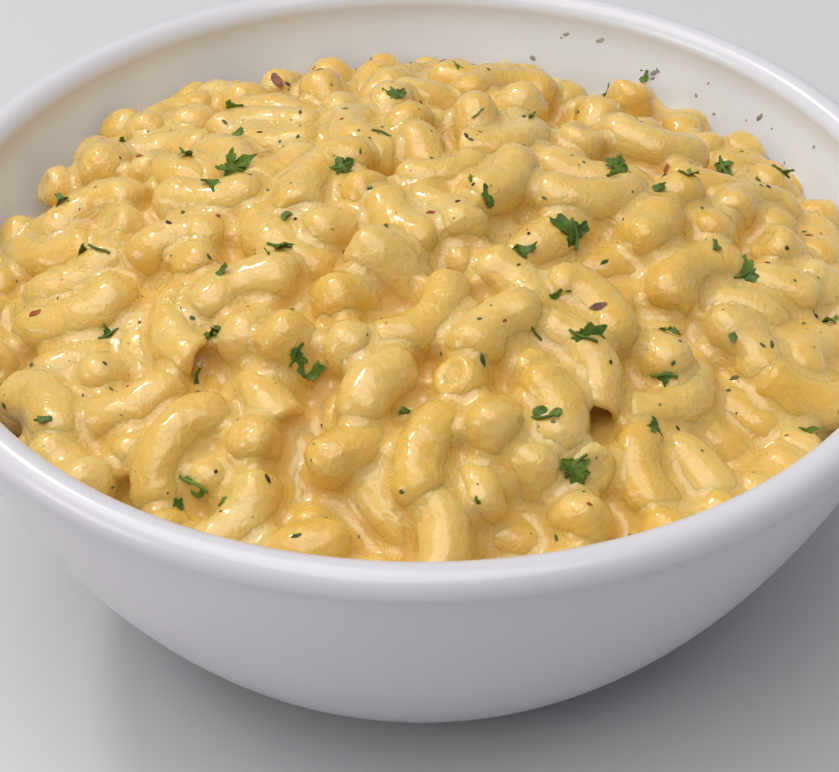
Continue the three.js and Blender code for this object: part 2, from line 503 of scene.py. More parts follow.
@dataclass(frozen=True)
class LeafFinish:
    """Chopped parsley: deep green, paler at the veins, slightly glossy where it is wet."""

    name: str = "parsley_leaf"
    dark: Colour = (0.048, 0.100, 0.008, 1.0)
    light: Colour = (0.19, 0.29, 0.030, 1.0)

    def material(self) -> bpy.types.Material:
        """Build the material."""
        material, sketch, shader, place = new_material(self.name)
        broad = sketch.noise(place, 260.0, 3.0)
        veins = sketch.noise(place, 1500.0, Distortion=1.5)
        pale = sketch.maths("MULTIPLY", sketch.band(broad, 0.38, 0.68, to_low=0.1),
                            sketch.band(veins, 0.35, 0.65, to_low=0.35))
        sketch.feed(shader, {
            "Base Color": sketch.mix(pale, self.dark, self.light),
            "Roughness": sketch.band(broad, 0.3, 0.7, 0.34, 0.58),
            "Normal": sketch.bump(veins, 0.35, 0.15),
            "Specular IOR Level": 0.30,
            "Subsurface Weight": 0.12,
            "Subsurface Radius": (0.8, 1.0, 0.3),
            "Subsurface Scale": 0.4 * MM,
        })
        return material


@dataclass(frozen=True)
class GrainFinish:
    """Ground spice or dried herb: small dull grains of two shades."""

    name: str
    first: Colour
    second: Colour

    def material(self) -> bpy.types.Material:
        """Build the material."""
        material, sketch, shader, place = new_material(self.name)
        shade = sketch.band(sketch.noise(place, 420.0), 0.40, 0.62)
        pits = sketch.noise(place, 3800.0, 1.0)
        sketch.feed(shader, {
            "Base Color": sketch.mix(shade, self.first, self.second),
            "Roughness": sketch.band(pits, 0.3, 0.7, 0.50, 0.75),
            "Normal": sketch.bump(pits, 0.5, 0.1),
            "Specular IOR Level": 0.25,
        })
        return material


# ------------------------------------------------------------------ the bowl

@dataclass
class Bowl:
    """The turned bowl, in millimetres: a rolled lip, a full round wall and a low foot ring.

    Both walls close towards the middle like a flattened ball. A depth is measured down from the
    lip's centre line, and the lip's turns are in degrees from straight out. The outside wall stops
    a little below the neck, and a smooth curve carries it on to the lip's flatter underside.
    """

    lip_radius: float = 90.9
    lip_height: float = 73.0
    lip_thickness: float = 6.9
    lip_start: float = -40.0
    lip_end: float = 188.0
    lip_droop: float = 2.2
    neck_depth: float = 4.4
    neck_gap: float = 0.6
    neck_pull: float = 1.1
    lip_pull: float = 1.3
    mouth: float = 93.1
    reach: float = 86.9
    inside_mouth: float = 87.6
    inside_reach: float = 80.5
    inside_start: float = 1.5
    swell: float = 1.249
    roundness: float = 2.615
    underside: float = 10.0
    foot_radius: float = 46.0
    foot_height: float = 2.6
    foot_width: float = 5.0
    foot_round: float = 0.9
    foot_slope: float = 1.08
    foot_ease: float = 0.2
    foot_step: float = 0.5
    recess: float = 2.0
    recess_rim: float = 2.0
    floor: float = 7.5
    floor_ease: float = 6.0
    ease_corner: Point = (0.45, 0.15)
    ease_end: float = 1.2
    inner_band: float = 2.0
    crisp_angle: float = 50.0
    sectors: int = 144
    wall_steps: int = 26
    foot_steps: int = 3
    knee_steps: int = 10
    neck_steps: int = 12

    def wall(self, mouth: float, reach: float, depth: Length) -> Length:
        """Radius at a depth of a wall that is `mouth` wide at the lip and closes at `reach`."""
        closed = (np.maximum(depth, 0.0) / reach) ** self.swell
        return mouth * np.maximum(1.0 - closed, 0.0) ** (1.0 / self.roundness)

    def outside(self, depth: Length) -> Length:
        """Outside radius at a depth."""
        return self.wall(self.mouth, self.reach, depth)

    def inside(self, depth: Length) -> Length:
        """Inside radius at a depth."""
        return self.wall(self.inside_mouth, self.inside_reach, depth)

    def inside_at(self, height: Length) -> Length:
        """Inside radius at a height above the table."""
        return self.inside(np.clip(self.lip_height - height, 0.0, self.inside_reach - 1.0))

    def wall_spot(self, around: float, depth: float) -> Spot:
        """A place on the inside wall.

        Args:
            around: Its direction from the middle, in degrees.
            depth: How deep it lies.

        Returns:
            The place, in metres, and a normal that leans inwards and a little up.
        """
        height = self.lip_height - depth
        radius = float(self.inside_at(height))
        out = Vector((math.cos(math.radians(around)), math.sin(math.radians(around)), 0))
        place = Vector((out.x * radius, out.y * radius, height)) * MM
        return place, (Vector((0, 0, 0.25)) - out).normalized()

    def _foot(self) -> list[Point]:
        """The underside, from the axis over the foot ring to where the wall begins."""
        ring_inside = self.foot_radius - self.foot_width
        points = [(0.0, self.recess), (ring_inside / 2, self.recess),
                  (ring_inside - self.recess_rim, self.recess)]
        quarter = [math.radians(90 * step / self.foot_steps) for step in range(self.foot_steps + 1)]
        for step, turn in enumerate(quarter):
            drop = math.cos(turn)
            radius = ring_inside + self.foot_ease * (step - 1) - self.foot_slope * drop
            points.append((radius, self.recess * drop))
        for turn in quarter:
            points.append((self.foot_radius - self.foot_round * (1 - math.sin(turn)),
                           self.foot_round * (1 - math.cos(turn))))
        lowest = self.lip_height - self.underside
        slope = self.outside(lowest) - self.outside(lowest + 1.0)
        start = (self.foot_radius + self.foot_step, self.foot_height)
        knee = (self.outside(lowest) - slope * (self.underside - self.foot_height), self.foot_height)
        return points + curve((start, knee, (self.outside(lowest), self.underside)), self.knee_steps)

    def _neck(self, low: Point) -> list[Point]:
        """The hollow between the wall's top and the lip's underside, which runs smoothly into both."""
        half = self.lip_thickness / 2
        turn = math.radians(self.lip_start)
        high = self._lip(turn)
        along = Vector((-half * math.sin(turn), self.lip_droop * math.cos(turn))).normalized()
        slope = self.outside(self.neck_depth) - self.outside(self.neck_depth + 1.0)
        low_pull = (low[0] + slope * self.neck_pull, low[1] + self.neck_pull)
        high_pull = (high[0] - along.x * self.lip_pull, high[1] - along.y * self.lip_pull)
        return curve((low, low_pull, high_pull, high), self.neck_steps)[1:-1]

    def _lip(self, turn: float) -> Point:
        """A point of the rolled lip, which is round on top and flatter underneath."""
        half = self.lip_thickness / 2
        tall = half if turn > 0 else self.lip_droop
        return self.lip_radius + half * math.cos(turn), self.lip_height + tall * math.sin(turn)

    def section(self) -> list[Point]:
        """Half of the bowl's section, from the axis underneath, round the lip, to the axis inside."""
        steps = self.wall_steps + 1
        points = self._foot()
        lowest = self.lip_height - self.underside
        for depth in np.linspace(lowest, self.neck_depth + self.neck_gap, steps)[1:]:
            points.append((self.outside(depth), self.lip_height - depth))
        points += self._neck(points[-1])
        for turn in np.linspace(math.radians(self.lip_start), math.radians(self.lip_end), steps):
            points.append(self._lip(turn))
        floor_depth = self.lip_height - self.floor
        for depth in np.linspace(self.inside_start, floor_depth - self.floor_ease / 2, steps)[1:]:
            points.append((self.inside(depth), self.lip_height - depth))
        corner = self.inside(floor_depth)
        inwards, up = self.ease_corner
        points += [(corner - inwards * self.floor_ease, self.floor + up * self.floor_ease),
                   (corner - self.ease_end * self.floor_ease, self.floor),
                   (self.foot_radius / 2, self.floor), (0.0, self.floor)]
        return points

    def build(self) -> bpy.types.Object:
        """Turn the bowl and glaze it.

        Returns:
            The finished piece, which stands for the frame's bowl.
        """
        piece = turned("glazed_bowl", self.section(), self.sectors)
        smooth(piece, self.crisp_angle)
        corners = corners_of(piece)
        away = np.hypot(corners[:, 0], corners[:, 1])
        wall = self.inside(self.lip_height - corners[:, 2])
        within = (away < wall + 1.0) & (corners[:, 2] > self.floor - 0.5)
        # painted light: how much of the lighter, cooler inside colour each corner takes, fading in below
        # the lip
        inside_light = ((self.lip_radius - self.inner_band - away) / self.inner_band).clip(0, 1)
        write_value(piece, "inside_light", np.where(within, inside_light, 0.0))
        piece.data.materials.append(GlazeFinish().material())
        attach(piece, ROOT)
        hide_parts("bowl")
        return piece


# ------------------------------------------------------------------ the mound

@dataclass
class Mound:
    """The outline of the heap: part of a ball inside the bowl, a little uneven round its edge.

    Its edge leans one way and rises and falls in a broad and a narrow wave; `layer` is how thick
    the loose elbows lie on the bed.
    """

    bowl: Bowl
    crest: float = 13.0
    edge_depth: float = 13.0
    edge_radius: float = 85.0
    layer: float = 15.5
    tilt: float = 2.0
    tilt_turn: float = 1.0
    broad_wave: float = 1.2
    broad_turn: float = 0.6
    narrow_wave: float = 0.8

    @property
    def ball(self) -> float:
        """Radius of the ball that the mound's top is part of."""
        rise = self.crest + self.edge_depth
        return (self.edge_radius ** 2 + rise ** 2) / (2 * rise)

    def top(self, x: Length, y: Length) -> Length:
        """Height of the mound's outline above the table, over points in plan."""
        away = np.hypot(x, y)
        around = np.arctan2(y, x)
        centre = self.bowl.lip_height + self.crest - self.ball
        cap = centre + np.sqrt(np.maximum(self.ball ** 2 - away ** 2, 0.0))
        share = (away / self.edge_radius) ** 2
        lean = (-self.tilt * np.cos(around - self.tilt_turn)
                + self.broad_wave * np.sin(3 * around + self.broad_turn)
                + self.narrow_wave * np.cos(5 * around))
        return cap + share * lean

    def core(self, x: Length, y: Length) -> Length:
        """Height of the bed that the loose pieces lie on."""
        return self.top(x, y) - self.layer


# ------------------------------------------------------------------ elbows of macaroni

class ElbowEnd(Enum):
    """How an elbow's end looks: each ring's step outwards and its share of the tube's radius."""

    OPEN = ((0.55, 0.965), (0.50, 0.87), (0.10, 0.75), (-0.35, 0.64), (-1.0, 0.58), (-4.5, 0.56))
    FILLED = ((1.0, 0.96), (1.0, 0.85), (0.60, 0.68), (0.05, 0.50), (-0.35, 0.30))
    PLUGGED = ((1.3, 0.955), (1.2, 0.83), (0.90, 0.63), (0.45, 0.36))
    PINCHED = ((1.5, 0.91), (1.4, 0.72), (0.8, 0.48), (0.3, 0.24))


@dataclass(frozen=True)
class Elbow:
    """One kind of elbow, in millimetres and degrees, and its share of the heap."""

    name: str
    share: float
    bend: float
    sweep: float
    tube: float
    first: ElbowEnd = ElbowEnd.PLUGGED
    second: ElbowEnd = ElbowEnd.PLUGGED
    flat: float = 1.0
    bead_inset: float = 0.55
    rim_reach: float = 1.2
    around: int = 18
    along: int = 12

    def _bead_turns(self, count: int) -> np.ndarray:
        """Turns along the bend of the balls that stand for the elbow while it settles."""
        half = math.radians(self.sweep) / 2 - self.bead_inset * self.tube / self.bend
        return np.linspace(-half, half, count)

    def beads(self, count: int) -> np.ndarray:
        """Centres of those balls, round their own middle."""
        turns = self._bead_turns(count)
        beads = np.stack([self.bend * np.cos(turns), self.bend * np.sin(turns), np.zeros(count)], axis=1)
        return beads - beads.mean(axis=0)

    def middle(self) -> float:
        """Distance of the elbow's own centre from the centre of its bend."""
        half = math.radians(self.sweep) / 2
        return self.bend * math.sin(half) / half

    def shift(self, count: int) -> float:
        """How far the elbow's own centre lies from the middle of its balls."""
        return self.middle() - self.bend * float(np.cos(self._bead_turns(count)).mean())

    def _select_rim(self, piece: bpy.types.Object, turn: float) -> None:
        """Select the open rim at one end of the tube."""
        bpy.ops.mesh.select_mode(type="EDGE")
        bpy.ops.mesh.select_all(action="DESELECT")
        mesh = bmesh.from_edit_mesh(piece.data)
        target = Vector((math.cos(turn), math.sin(turn), 0)) * self.bend * MM
        near = self.rim_reach * self.tube * MM
        for edge in mesh.edges:
            middle = (edge.verts[0].co + edge.verts[1].co) / 2
            edge.select = edge.is_boundary and (middle - target).length < near
        bmesh.update_edit_mesh(piece.data)

    def _cap(self, end: ElbowEnd, turn: float, side: float) -> None:
        """Close the end that is selected with the rings of its kind, in edit mode."""
        centre = Vector((self.bend * math.cos(turn), self.bend * math.sin(turn), 0)) * MM
        out = Vector((-math.sin(turn), math.cos(turn), 0)) * side
        before = 1.0
        for step, share in end.value:
            move = out * step * MM
            centre = centre + move
            bpy.ops.mesh.extrude_region_move(TRANSFORM_OT_translate={"value": move})
            factor = share / before
            bpy.ops.transform.resize(value=(factor, factor, factor), center_override=centre)
            before = share
        bpy.ops.mesh.edge_face_add()

    def build(self) -> bpy.types.Object:
        """Model the elbow round the origin, bent in the XY plane.

        Returns:
            A closed tube with both ends finished.
        """
        half = math.radians(self.sweep) / 2
        deselect_all()
        bpy.ops.mesh.primitive_circle_add(
            vertices=self.around, radius=self.tube * MM, fill_type="NOTHING",
            location=(self.bend * math.cos(half) * MM, -self.bend * math.sin(half) * MM, 0),
            rotation=(math.pi / 2, 0, -half))
        piece = start_piece(self.name)
        bpy.ops.object.transform_apply(location=True, rotation=True)
        edit_all()
        bpy.ops.mesh.spin(steps=self.along, angle=2 * half, center=(0, 0, 0), axis=(0, 0, -1))
        for end, side in ((self.first, 1.0), (self.second, -1.0)):
            self._select_rim(piece, side * half)
            self._cap(end, side * half, side)
        bpy.ops.mesh.select_all(action="SELECT")
        bpy.ops.mesh.remove_doubles(threshold=2 * WELD * MM)
        bpy.ops.mesh.normals_make_consistent(inside=False)
        bpy.ops.transform.resize(value=(1, 1, self.flat), center_override=(0, 0, 0))
        bpy.ops.transform.translate(value=(-self.middle() * MM, 0, 0))
        bpy.ops.object.mode_set(mode="OBJECT")
        smooth(piece)
        return piece


ELBOWS = (
    Elbow("elbow_open", 0.12, bend=12.0, sweep=85, tube=4.60, first=ElbowEnd.OPEN, second=ElbowEnd.FILLED),
    Elbow("elbow_plump", 0.24, bend=10.8, sweep=70, tube=5.05, flat=0.96),
    Elbow("elbow_long", 0.20, bend=12.2, sweep=80, tube=4.80, second=ElbowEnd.FILLED),
    Elbow("elbow_short", 0.18, bend=10.2, sweep=58, tube=5.00, second=ElbowEnd.PINCHED, flat=0.97),
    Elbow("elbow_slack", 0.14, bend=14.0, sweep=54, tube=4.85, flat=0.94),
    Elbow("elbow_tight", 0.12, bend=9.2, sweep=94, tube=4.75),
)


@dataclass
class Settling:
    """Lets loose elbows sink, push each other aside and come to rest in the mound.

    Each elbow is a stiff chain of balls. In every round the balls are pulled down, pushed out of
    each other, of the bowl and of the bed, and held under the mound's outline; then each chain
    takes the place and turn that fit its balls best. Heights and gaps are in millimetres, leans in
    degrees. The slack lets single elbows stand out of the outline or stay below it.
    """

    mound: Mound
    count: int = 250
    beads: int = 5
    rounds: int = 260
    seed: int = 7
    spread: float = 80.0
    scatter: float = 0.2
    rise_scatter: float = 1.0
    lower_rise: float = 5.0
    upper_rise: float = 13.5
    usual_lean: float = 20.0
    steep_share: float = 0.10
    steep_lean: Range = (45, 80)
    size_spread: float = 0.045
    size_limits: Range = (0.90, 1.10)
    bead_share: float = 0.965
    slack_middle: float = 0.2
    slack_spread: float = 1.5
    slack_limits: Range = (-3.0, 2.6)
    fall: float = 0.22
    last_fall: float = 0.02
    push: float = 0.42
    bed_hold: float = 0.6
    roof_hold: float = 0.5
    wall_hold: float = 0.9
    wall_gap: float = 0.35
    kinds: np.ndarray = field(init=False)
    sizes: np.ndarray = field(init=False)

    def _start(self, rng: np.random.Generator) -> tuple[np.ndarray, np.ndarray]:
        """Spread the elbows over the bed in two loose layers, each turned its own way."""
        number = np.arange(self.count)
        away = self.spread * np.sqrt((number + 0.5) / self.count)
        around = number * GOLDEN_ANGLE + rng.uniform(-self.scatter, self.scatter, self.count)
        x = away * np.cos(around)
        y = away * np.sin(around)
        three_in_five = number % 5 > 1
        rise = np.where(three_in_five, self.upper_rise, self.lower_rise)
        z = self.mound.core(x, y) + rise + rng.uniform(-self.rise_scatter, self.rise_scatter, self.count)
        lean = np.radians(rng.normal(0, self.usual_lean, self.count))
        steep = rng.random(self.count) < self.steep_share
        lean = np.where(steep, np.radians(rng.uniform(*self.steep_lean, self.count)), lean)
        turns = np.empty((self.count, 3, 3))
        for i in range(self.count):
            up = Vector((x[i] / self.mound.ball, y[i] / self.mound.ball, 1.0)).normalized()
            spin = Matrix.Rotation(rng.uniform(0, FULL_TURN), 3, up)
            tilt = Matrix.Rotation(lean[i], 3, spin @ Vector((1, 0, 0)))
            turns[i] = np.array(tilt @ spin @ stand_on(up).to_3x3())
        return np.stack([x, y, z], axis=1), turns

    def _part(self, balls: np.ndarray, radii: np.ndarray, owner: np.ndarray) -> np.ndarray:
        """How far overlapping balls of different elbows push each other."""
        square = (balls ** 2).sum(axis=1)
        gap2 = square[:, None] + square[None, :] - 2.0 * balls @ balls.T
        touch = gap2 < (radii[:, None] + radii[None, :]) ** 2
        touch &= owner[:, None] < owner[None, :]
        a, b = np.nonzero(touch)
        line = balls[a] - balls[b]
        length = np.maximum(np.linalg.norm(line, axis=1), TINY)
        push = (self.push * (radii[a] + radii[b] - length) / length)[:, None] * line
        move = np.zeros_like(balls)
        for axis in range(3):
            move[:, axis] += np.bincount(a, push[:, axis], len(balls))
            move[:, axis] -= np.bincount(b, push[:, axis], len(balls))
        hits = np.bincount(a, minlength=len(balls)) + np.bincount(b, minlength=len(balls))
        return move / np.maximum(hits, 1)[:, None] ** 0.5

    def _hold(self, balls: np.ndarray, radii: np.ndarray, slack: np.ndarray) -> None:
        """Move the balls up to the bed, down to the outline and in from the bowl's wall."""
        height = balls[:, 2]
        bed = self.mound.core(balls[:, 0], balls[:, 1]) + radii
        height += np.where(height < bed, self.bed_hold * (bed - height), 0.0)
        roof = self.mound.top(balls[:, 0], balls[:, 1]) - radii + slack
        height += np.where(height > roof, self.roof_hold * (roof - height), 0.0)
        away = np.hypot(balls[:, 0], balls[:, 1])
        limit = self.mound.bowl.inside_at(height) - radii - self.wall_gap
        shrink = np.where(away > limit, 1 + self.wall_hold * (limit / np.maximum(away, TINY) - 1), 1.0)
        balls[:, :2] *= shrink[:, None]

    def _fit(self, balls: np.ndarray, rest: np.ndarray) -> tuple[np.ndarray, np.ndarray]:
        """The place and turn of each elbow that fit its balls best."""
        wanted = balls.reshape(self.count, self.beads, 3)
        places = wanted.mean(axis=1)
        spread = np.einsum("nki,nkj->nij", wanted - places[:, None], rest)
        u, _, vt = np.linalg.svd(spread)
        flip = np.sign(np.linalg.det(u @ vt))
        u[:, :, 2] *= flip[:, None]
        return places, u @ vt

    def run(self) -> list[Matrix]:
        """Settle the elbows.

        Returns:
            Each elbow's place, turn and size, with the place in metres.
        """
        rng = np.random.default_rng(self.seed)
        self.kinds = rng.choice(len(ELBOWS), self.count, p=[elbow.share for elbow in ELBOWS])
        self.sizes = rng.normal(1.0, self.size_spread, self.count).clip(*self.size_limits)
        places, turns = self._start(rng)
        rest = np.stack([ELBOWS[kind].beads(self.beads) for kind in self.kinds]) * self.sizes[:, None, None]
        tubes = [ELBOWS[kind].tube for kind in self.kinds]
        radii = np.repeat(tubes * self.sizes, self.beads) * self.bead_share
        owner = np.repeat(np.arange(self.count), self.beads)
        slack = rng.normal(self.slack_middle, self.slack_spread, self.count).clip(*self.slack_limits)
        slack = np.repeat(slack, self.beads)
        for done in range(self.rounds):
            balls = (np.einsum("nij,nkj->nki", turns, rest) + places[:, None]).reshape(-1, 3)
            balls[:, 2] -= self.fall * (1 - done / self.rounds) + self.last_fall
            balls += self._part(balls, radii, owner)
            self._hold(balls, radii, slack)
            places, turns = self._fit(balls, rest)
        matrices = []
        for place, turn, size in zip(places, turns, self.sizes):
            matrix = Matrix(turn.tolist()).to_4x4() @ Matrix.Diagonal((size, size, size, 1.0))
            matrix.translation = Vector(place * MM)
            matrices.append(matrix)
        return matrices


@dataclass
class Macaroni:
    """All the loose elbows, one joined piece.

    Their coat has soft lumps in layers, each with its size and how far it swells and dents. The
    finish reads how deep a corner lies and paints deeper corners darker as painted shade, which
    `depth_curve` keeps low near the top.
    """

    mound: Mound
    settling: Settling
    lumps: tuple[Point, ...] = ((7.0, 1.3), (3.0, 0.715))
    depth_curve: float = 1.5
    tint_seed: int = 3

    def build(self) -> bpy.types.Object:
        """Settle, copy and join the elbows, then make each one a little uneven.

        Returns:
            The finished piece, which stands for the frame's heap.
        """
        matrices = self.settling.run()
        masters = [kind.build() for kind in ELBOWS]
        shifts = [kind.shift(self.settling.beads) * MM for kind in ELBOWS]
        copies = []
        rng = np.random.default_rng(self.tint_seed)
        for kind, matrix in zip(self.settling.kinds, matrices):
            elbow = copy_piece(masters[kind], matrix @ Matrix.Translation((shifts[kind], 0, 0)))
            write_value(elbow, "tint", np.full(len(elbow.data.vertices), rng.random()))
            copies.append(elbow)
        discard(masters)
        piece = join(copies, "macaroni_elbows")
        for size, strength in self.lumps:
            clouds = bpy.data.textures.new(f"coat_{size}", "CLOUDS")
            clouds.noise_scale = size * MM
            clouds.noise_depth = 1
            modify(piece, "DISPLACE", texture=clouds, texture_coords="GLOBAL", mid_level=0.5,
                   strength=strength * MM)
        smooth(piece)
        corners = corners_of(piece)
        # painted shade: how deep each corner lies under the outline, which the finish turns into darker
        # colour
        depth = (self.mound.top(corners[:, 0], corners[:, 1]) - corners[:, 2]) / self.mound.layer
        write_value(piece, "depth", depth.clip(0, 1) ** self.depth_curve)
        piece.data.materials.append(CheeseFinish("sauced_macaroni").material())
        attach(piece, ROOT)
        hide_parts("macaroni")
        return piece


@dataclass
class CheeseSauce:
    """The sauce: a core under the elbows, and the fillets that cling between them.

    The surface is swollen by `bridge`, so that it closes gaps up to twice as wide, and drawn back
    by a little more, so that it lies `shy` under the elbows' own coat.
    """

    mound: Mound
    bridge: float = 0.85
    shy: float = 0.12
    sink: float = 14.0
    edge_sink: float = 7.0
    edge_inset: float = 1.5
    ring_step: float = 4.0
    bed_gap: float = 0.8
    wall_gap: float = 0.12
    voxel: float = 0.80
    cut_depth: float = 34.0
    spare_depth: float = 3.0
    # how far below the outline the sauce lies before the painted shade starts
    unshaded_depth: float = 4.0
    tint: float = 0.4
    sectors: int = 96
    most_triangles: int = 190000

    def bed(self) -> bpy.types.Object:
        """The core: the bed that the elbows lie on, down to a little below the cut."""
        bowl = self.mound.bowl
        lowest = bowl.lip_height - self.cut_depth - self.spare_depth
        section = [(0.0, lowest), (bowl.inside_at(lowest) - self.bed_gap, lowest)]
        for ring in np.arange(self.mound.edge_radius - self.edge_inset, 0.0, -self.ring_step):
            droop = self.edge_sink * (ring / self.mound.edge_radius) ** 6
            height = self.mound.top(ring, 0.0) - self.sink - droop
            section.append((min(ring, bowl.inside_at(height) - self.bed_gap), height))
        section.append((0.0, self.mound.top(0.0, 0.0) - self.sink))
        return turned("sauce_bed", section, self.sectors)

    def build(self, elbows: bpy.types.Object) -> bpy.types.Object:
        """Fuse a copy of the elbows with the bed, close the narrow gaps and cut the base flat.

        Args:
            elbows: The finished macaroni.

        Returns:
            The finished sauce.
        """
        piece = join([self.bed(), copy_piece(elbows, Matrix())], "cheese_sauce")
        self._skin(piece)
        self._swell(piece, self.bridge)
        self._skin(piece)
        self._swell(piece, -self.bridge - self.shy)
        self._ease(piece, 3)
        self._skin(piece)
        self._ease(piece, 4)
        self._cut(piece)
        self._thin(piece)
        corners = corners_of(piece)
        away = np.hypot(corners[:, 0], corners[:, 1])
        limit = self.mound.bowl.inside_at(corners[:, 2]) - self.wall_gap
        corners[:, :2] *= np.where(away > limit, limit / np.maximum(away, TINY), 1.0)[:, None]
        write_corners(piece, corners)
        # painted shade: sauce lying further below the outline is darkened towards the crevice colour
        depth = self.mound.top(corners[:, 0], corners[:, 1]) - corners[:, 2] - self.unshaded_depth
        write_value(piece, "depth", (depth / self.sink).clip(0, 1))
        write_value(piece, "tint", np.full(len(corners), self.tint))
        smooth(piece)
        # painted shade: the last colour given is the shade that deep sauce is darkened towards
        sauce = CheeseFinish("cheese_sauce", body=(0.73, 0.45, 0.085, 1.0), cream=(0.76, 0.55, 0.21, 1.0),
                             golden=(0.72, 0.35, 0.035, 1.0), crevice_shade=(0.52, 0.20, 0.02, 1.0),
                             roughness=0.16, relief=0.65)
        piece.data.materials.append(sauce.material())
        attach(piece, ROOT)
        return piece

    def _skin(self, piece: bpy.types.Object) -> None:
        """Rebuild the surface as one skin."""
        modify(piece, "REMESH", mode="VOXEL", voxel_size=self.voxel * MM, adaptivity=0.0)

    def _swell(self, piece: bpy.types.Object, distance: float) -> None:
        """Move the surface out, or in, along its normals."""
        modify(piece, "DISPLACE", strength=distance * MM, mid_level=0.0)

    def _ease(self, piece: bpy.types.Object, rounds: int) -> None:
        """Smooth the surface a little."""
        modify(piece, "SMOOTH", factor=0.5, iterations=rounds)

    def _cut(self, piece: bpy.types.Object) -> None:
        """Cut away what lies below the bed and close the cut."""
        take(piece)
        level = (self.mound.bowl.lip_height - self.cut_depth) * MM
        edit_all()
        bpy.ops.mesh.bisect(plane_co=(0, 0, level), plane_no=UPRIGHT, use_fill=True, clear_inner=True)
        bpy.ops.object.mode_set(mode="OBJECT")

    def _thin(self, piece: bpy.types.Object) -> None:
        """Leave out the triangles that the shape can spare."""
        modify(piece, "DECIMATE", ratio=min(1.0, self.most_triangles / triangles_of(piece)))


class Surface:
    """The heap's top, for laying small things on."""

    def __init__(self, pieces: Sequence[bpy.types.Object]) -> None:
        """Gather the faces of the pieces that make the top."""
        corners: list[Vector] = []
        faces: list[tuple[int, ...]] = []
        for piece in pieces:
            start = len(corners)
            corners += [vertex.co.copy() for vertex in piece.data.vertices]
            faces += [tuple(start + i for i in face.vertices) for face in piece.data.polygons]
        self.tree = BVHTree.FromPolygons(corners, faces)

    def drop(self, x: float, y: float) -> Spot | None:
        """Find the place and normal under a point in plan, given in millimetres."""
        above = 200.0
        place, normal, _, _ = self.tree.ray_cast(Vector((x, y, above)) * MM, -Vector(UPRIGHT))
        if place is None:
            return None
        return place, normal if normal.z > 0 else -normal


# ------------------------------------------------------------------ herbs and spice

@dataclass(frozen=True)
class Leaf:
    """The outline of one bit of leaf: its lobes, its teeth and how far the gaps reach in."""

    lobes: int
    teeth: int
    waist: float


LEAVES = (Leaf(5, 16, 0.62), Leaf(3, 11, 0.62), Leaf(2, 9, 0.66), Leaf(4, 13, 0.55), Leaf(1, 8, 0.45),
          Leaf(3, 3, 0.86))


@dataclass(frozen=True)
class Sprig:
    """One larger piece of parsley, given one by one: millimetres across the bowl, turn and kind of leaf."""

    x: float
    y: float
    size: float
    turn: float
    leaf: int


SPRIGS = (
    Sprig(-35, 10, 8.0, 20, 0), Sprig(27, -9, 7.5, 140, 1), Sprig(20, -56, 6.5, 15, 5),
    Sprig(25, -62, 6.5, 250, 1), Sprig(27, -39, 6.5, 5, 2), Sprig(-37, -63, 7.0, 170, 5),
    Sprig(36, 12, 7.0, 80, 0), Sprig(58, -10, 6.0, 60, 1), Sprig(42, -31, 5.0, 30, 0),
    Sprig(41, -40, 6.0, 200, 2), Sprig(-35, -22, 4.6, 100, 1), Sprig(-55, -24, 5.5, 60, 2),
    Sprig(-25, -15, 6.0, 10, 1), Sprig(-21, -42, 5.8, 280, 2), Sprig(-5, 34, 5.0, 120, 1),
    Sprig(-15, 5, 5.6, 45, 0), Sprig(70, 30, 6.0, 40, 1), Sprig(59, 33, 5.4, 300, 0),
    Sprig(43, 7, 5.0, 75, 1), Sprig(-36, -33, 5.6, 330, 0), Sprig(12, -6, 4.8, 95, 2),
)


